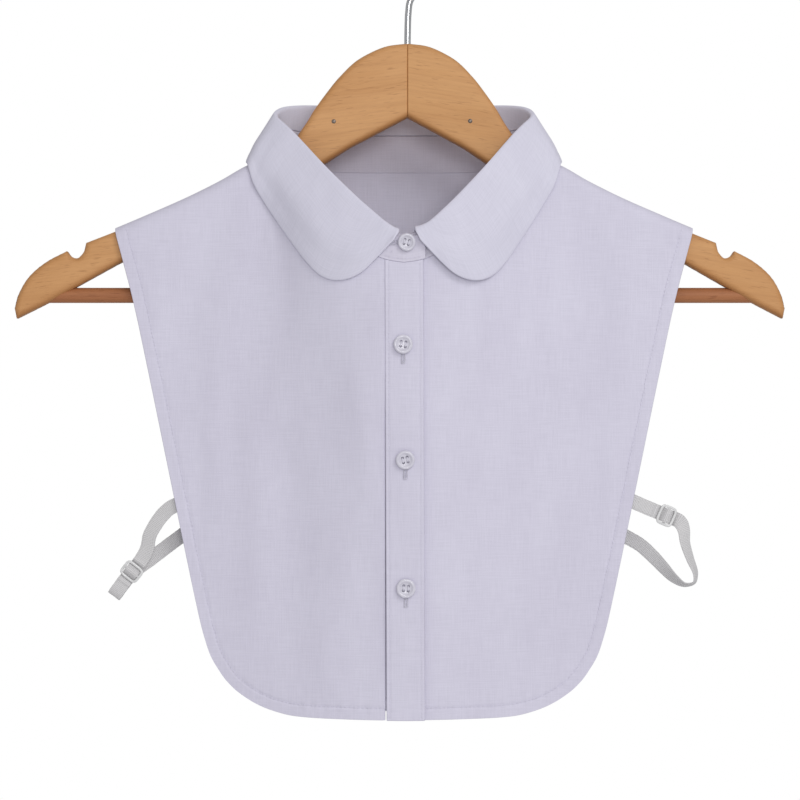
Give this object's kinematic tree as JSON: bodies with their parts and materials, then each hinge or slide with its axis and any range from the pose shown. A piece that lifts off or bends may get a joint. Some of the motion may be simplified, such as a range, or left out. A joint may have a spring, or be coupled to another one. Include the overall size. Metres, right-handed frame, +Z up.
{
  "type": "detachable shirt collar on a wooden hanger",
  "caption": "Sleeveless cotton dickey with a round-ended collar, buttoned placket and elastic side tapes, hung on a wooden hanger with a trouser bar and a wire hook.",
  "frame": {"origin": "inside the crown of the hook, where the hanger rests on a rail", "axes": "+Z up, +X to the right of the front view along the hanger, the front of the collar faces -Y"},
  "size_m": [0.445, 0.0867, 0.4583],
  "materials": {
    "wood": "pale varnished hardwood with a satin sheen",
    "bar_wood": "darker varnished dowel",
    "chrome": "bright plated wire",
    "cotton": "fine plain-woven white cotton, single layer, matt",
    "cotton_double": "fine plain-woven white cotton, doubled and interlined, matt",
    "button_plastic": "white, slightly pearly",
    "elastic": "white ribbed elastic tape, matt",
    "slider_plastic": "white moulded plastic"
  },
  "bodies": {
    "root": {"hanger_arm_left": "wood", "hanger_arm_right": "wood", "trouser_bar": "bar_wood", "hook": "chrome", "back_panel": "cotton", "front_right": "cotton", "front_left": "cotton", "placket": "cotton_double", "collar_stand": "cotton_double", "collar_leaf": "cotton_double", "button_1": "button_plastic", "button_2": "button_plastic", "button_3": "button_plastic", "button_4": "button_plastic", "strap_left": "elastic", "strap_right": "elastic", "slider_left": "slider_plastic", "slider_right": "slider_plastic"}
  },
  "joints": []
}
